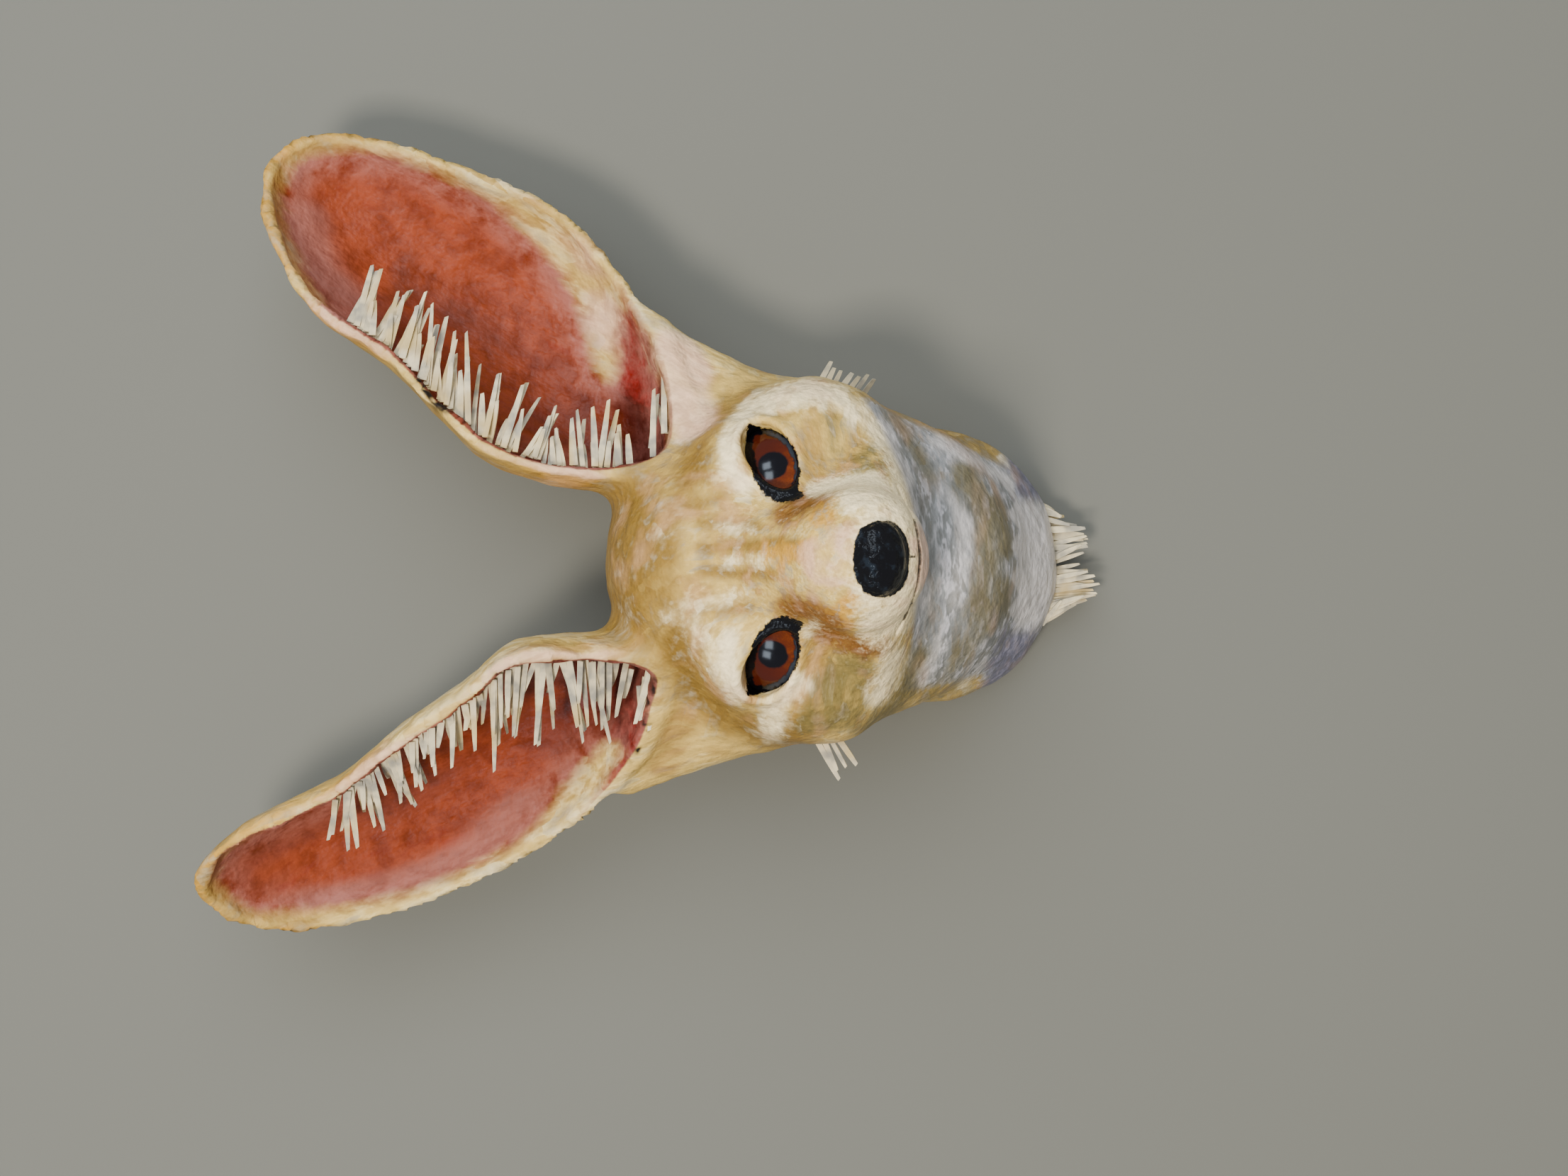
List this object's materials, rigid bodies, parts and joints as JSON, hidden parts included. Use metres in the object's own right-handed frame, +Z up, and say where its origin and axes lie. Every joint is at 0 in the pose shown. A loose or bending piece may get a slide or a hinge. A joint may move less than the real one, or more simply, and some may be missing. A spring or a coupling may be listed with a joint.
{
  "type": "fox head wall sculpture",
  "caption": "Painted papier-mâché head of a fennec fox with tall cupped ears and cut paper fringes, made to hang flat against a wall.",
  "frame": {"origin": "on the flat back face, on the head's middle plane, level with the eyes' lower lids", "axes": "+Y points out of the flat back into the wall, +Z up along the ears, +X towards the fox's own left ear; the face looks along -Y"},
  "size_m": [0.2405, 0.1481, 0.2762],
  "materials": {
    "painted_paper": "hand painted, satin varnish",
    "eye_gloss": "high gloss",
    "cut_paper": "matt, cream white"
  },
  "bodies": {
    "root": {"head": "painted_paper", "eye_left": "eye_gloss", "eye_right": "eye_gloss", "ear_fringe_left": "cut_paper", "ear_fringe_right": "cut_paper", "cheek_tuft_left": "cut_paper", "cheek_tuft_right": "cut_paper", "throat_fringe": "cut_paper"}
  },
  "joints": []
}
